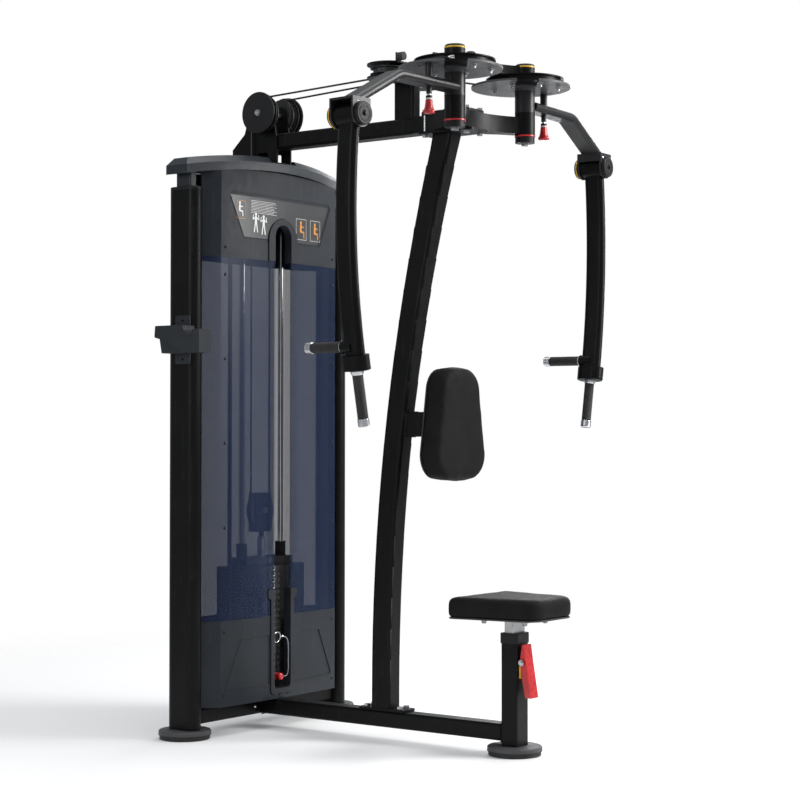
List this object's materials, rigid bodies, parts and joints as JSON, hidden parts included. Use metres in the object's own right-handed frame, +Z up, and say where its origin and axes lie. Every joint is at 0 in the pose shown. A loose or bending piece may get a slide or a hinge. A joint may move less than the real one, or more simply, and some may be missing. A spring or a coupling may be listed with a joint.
{
  "type": "pec deck machine",
  "caption": "Seated chest fly machine: covered weight tower, curved column, overhead yoke with two cam-driven hanging arms, back pad and height-adjustable seat.",
  "frame": {"origin": "on the floor, under the middle of the machine's length and width", "axes": "+X from the weight tower to the seat, the way a seated user faces; +Y to the user's left; +Z up"},
  "size_m": [1.212, 1.3562, 2.0655],
  "materials": {
    "frame_paint": "satin black powder coat",
    "arm_paint": "satin black powder coat",
    "disc_paint": "satin dark grey powder coat",
    "shroud_plastic": "fine textured dark grey moulding",
    "window_plastic": "smoked polycarbonate",
    "cap_plastic": "fine textured grey moulding",
    "black_plastic": "matt black moulding",
    "red_plastic": "glossy red moulding",
    "yellow_plastic": "yellow moulding",
    "pulley_nylon": "glass-filled nylon",
    "rubber": "matt black rubber",
    "grip_rubber": "ribbed black rubber",
    "chrome": "polished plating",
    "rod_steel": "hard chromed ground rod",
    "stem_steel": "satin zinc",
    "plate_iron": "black painted steel plates",
    "cable_jacket": "black nylon jacket over wire rope",
    "upholstery": "black vinyl",
    "lanyard_jacket": "clear-grey coated wire"
  },
  "bodies": {
    "frame": {"foot_pads": "rubber", "foot_plates": "frame_paint", "tower_columns": "frame_paint", "end_caps": "black_plastic", "base_frame": "frame_paint", "tower_crossbar": "frame_paint", "pulley_bracket": "frame_paint", "axles": "chrome", "pulley_covers": "shroud_plastic", "top_beam": "frame_paint", "yoke_lower": "frame_paint", "yoke_upper": "frame_paint", "pivot_housings": "frame_paint", "pivot_rings": "yellow_plastic", "main_column": "frame_paint", "frame_bolts": "chrome", "guide_rods": "rod_steel", "rubber_bumpers": "rubber", "shroud_lower": "shroud_plastic", "shroud_window": "window_plastic", "shroud_upper": "shroud_plastic", "slot_frame": "shroud_plastic", "tower_cap": "cap_plastic", "accessory_holder": "shroud_plastic", "pad_bracket": "frame_paint", "back_pad": "upholstery", "seat_post": "frame_paint", "seat_collar": "black_plastic", "cables": "cable_jacket", "cable_drops": "cable_jacket"},
    "stack": {"head_plate": "plate_iron", "weight_plates": "plate_iron", "selector_stem": "rod_steel", "guide_bushings": "black_plastic", "floating_bracket": "stem_steel", "cable_loop": "cable_jacket", "pin_lanyard": "lanyard_jacket"},
    "selector_pin": {"selector_pin": "red_plastic"},
    "floating_pulley": {"floating_pulley": "pulley_nylon"},
    "tower_pulley_left": {"tower_pulley_left": "pulley_nylon"},
    "tower_pulley_right": {"tower_pulley_right": "pulley_nylon"},
    "deflector_pulley_left": {"deflector_pulley_left": "pulley_nylon"},
    "deflector_pulley_right": {"deflector_pulley_right": "pulley_nylon"},
    "seat": {"seat_stem": "stem_steel", "seat_cushion": "upholstery"},
    "seat_lever": {"seat_lever": "red_plastic"},
    "cam_right": {"cam_right": "disc_paint"},
    "arm_right": {"upper_arm_right": "arm_paint", "elbow_caps_right": "black_plastic"},
    "pull_pin_right": {"pull_pin_right": "red_plastic"},
    "lower_arm_right": {"lower_arm_right": "arm_paint", "handle_grips_right": "grip_rubber", "handle_ends_right": "chrome"},
    "cam_left": {"cam_left": "disc_paint"},
    "arm_left": {"upper_arm_left": "arm_paint", "elbow_caps_left": "black_plastic"},
    "pull_pin_left": {"pull_pin_left": "red_plastic"},
    "lower_arm_left": {"lower_arm_left": "arm_paint", "handle_grips_left": "grip_rubber", "handle_ends_left": "chrome"}
  },
  "joints": [
    {"name": "stack_lift", "type": "slide", "parent": "frame", "child": "stack", "axis": [0, 0, 1], "range_m": [0, 0.166], "deforming": ["cable_drops"]},
    {"name": "selector_pin_pull", "type": "slide", "parent": "stack", "child": "selector_pin", "axis": [1, 0, 0], "range_m": [0, 0.09]},
    {"name": "floating_pulley_spin", "type": "hinge", "parent": "stack", "child": "floating_pulley", "pos_m": [-0.511, 0, 0.683], "axis": [1, 0, 0], "continuous": true},
    {"name": "seat_height", "type": "slide", "parent": "frame", "child": "seat", "axis": [0, 0, 1], "range_m": [0, 0.12]},
    {"name": "seat_lever_pull", "type": "hinge", "parent": "frame", "child": "seat_lever", "pos_m": [0.4995, 0, 0.271], "axis": [0, -1, 0], "range_deg": [0, 10], "stiffness_Nm_per_rad": 2},
    {"name": "tower_pulley_right_spin", "type": "hinge", "parent": "frame", "child": "tower_pulley_right", "pos_m": [-0.461, -0.045, 1.949], "axis": [0, 1, 0], "range_deg": [0, 195]},
    {"name": "deflector_pulley_right_spin", "type": "hinge", "parent": "frame", "child": "deflector_pulley_right", "pos_m": [0.065, -0.083, 2.019], "axis": [0, 0, -1], "range_deg": [0, 192]},
    {"name": "cam_right_turn", "type": "hinge", "parent": "frame", "child": "cam_right", "pos_m": [0.378, -0.1855, 1.978], "axis": [0, 0, 1], "range_deg": [0, 86]},
    {"name": "arm_right_start_angle", "type": "hinge", "parent": "cam_right", "child": "arm_right", "pos_m": [0.378, -0.1855, 1.93], "axis": [0, 0, 1], "range_deg": [-20, 15]},
    {"name": "pull_pin_right_slide", "type": "slide", "parent": "arm_right", "child": "pull_pin_right", "axis": [0, 0, 1], "range_m": [-0.01, 0.005], "stiffness_N_per_m": 4000},
    {"name": "elbow_right_swing", "type": "hinge", "parent": "arm_right", "child": "lower_arm_right", "pos_m": [0.35102, -0.6397, 1.786], "axis": [-0.9982, 0.0593, 0], "range_deg": [-12, 12]},
    {"name": "tower_pulley_left_spin", "type": "hinge", "parent": "frame", "child": "tower_pulley_left", "pos_m": [-0.461, 0.045, 1.949], "axis": [0, 1, 0], "range_deg": [0, 195]},
    {"name": "deflector_pulley_left_spin", "type": "hinge", "parent": "frame", "child": "deflector_pulley_left", "pos_m": [0.065, 0.083, 2.019], "axis": [0, 0, 1], "range_deg": [0, 192]},
    {"name": "cam_left_turn", "type": "hinge", "parent": "frame", "child": "cam_left", "pos_m": [0.378, 0.1855, 1.978], "axis": [0, 0, -1], "range_deg": [0, 86]},
    {"name": "arm_left_start_angle", "type": "hinge", "parent": "cam_left", "child": "arm_left", "pos_m": [0.378, 0.1855, 1.93], "axis": [0, 0, -1], "range_deg": [-20, 15]},
    {"name": "pull_pin_left_slide", "type": "slide", "parent": "arm_left", "child": "pull_pin_left", "axis": [0, 0, 1], "range_m": [-0.01, 0.005], "stiffness_N_per_m": 4000},
    {"name": "elbow_left_swing", "type": "hinge", "parent": "arm_left", "child": "lower_arm_left", "pos_m": [0.35102, 0.6397, 1.786], "axis": [0.9982, 0.0593, 0], "range_deg": [-12, 12]}
  ],
  "couplings": [
    {"joint": "cam_right_turn", "follows": "stack_lift", "rad_per_m": 8.9286},
    {"joint": "tower_pulley_right_spin", "follows": "stack_lift", "rad_per_m": 20},
    {"joint": "deflector_pulley_right_spin", "follows": "stack_lift", "rad_per_m": 19.608},
    {"joint": "cam_left_turn", "follows": "stack_lift", "rad_per_m": 8.9286},
    {"joint": "tower_pulley_left_spin", "follows": "stack_lift", "rad_per_m": 20},
    {"joint": "deflector_pulley_left_spin", "follows": "stack_lift", "rad_per_m": 19.608}
  ]
}
